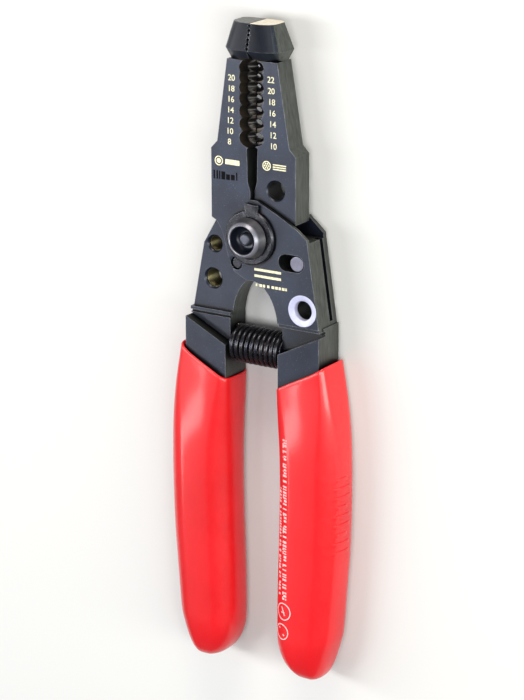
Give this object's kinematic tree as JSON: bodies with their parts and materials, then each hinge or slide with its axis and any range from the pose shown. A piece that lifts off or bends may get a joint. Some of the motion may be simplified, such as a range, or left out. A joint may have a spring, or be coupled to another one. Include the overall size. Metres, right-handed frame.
{
  "type": "wire stripper",
  "caption": "Hand wire stripper with crossed steel levers, graded stripping notches, a plier nose, a return spring, a slide lock and sleeved handles.",
  "frame": {"origin": "on the surface it lies on, under the middle of its bounding box", "axes": "+Y along the tool to the nose, +X to the side of the right handle, +Z out of the marked face"},
  "size_m": [0.0566, 0.186, 0.0168],
  "materials": {
    "lever_steel": "blackened satin steel",
    "pivot_steel": "dark turned steel, oiled",
    "bright_steel": "bright zinc",
    "spring_steel": "blued spring wire",
    "red_grip": "glossy dipped vinyl",
    "marking": "printed markings"
  },
  "bodies": {
    "front": {"front_lever": "lever_steel", "pivot_bolt": "pivot_steel", "pivot_washer": "pivot_steel", "pivot_boss": "pivot_steel", "thrust_washer": "bright_steel", "stop_stud": "bright_steel", "spring_seat_right": "pivot_steel", "grip_right": "red_grip", "return_spring": "spring_steel"},
    "rear": {"rear_lever": "lever_steel", "spring_seat_left": "pivot_steel", "grip_left": "red_grip"},
    "lock": {"lock_pin": "bright_steel", "lock_button": "pivot_steel"}
  },
  "joints": [
    {"name": "main_pivot", "type": "hinge", "parent": "front", "child": "rear", "pos_m": [0, 0.0341, 0.007], "axis": [0, 0, -1], "range_deg": [0, 15], "deforming": ["return_spring"]},
    {"name": "lock_slide", "type": "slide", "parent": "front", "child": "lock", "axis": [-1, 0, 0], "range_m": [0, 0.0035]}
  ]
}
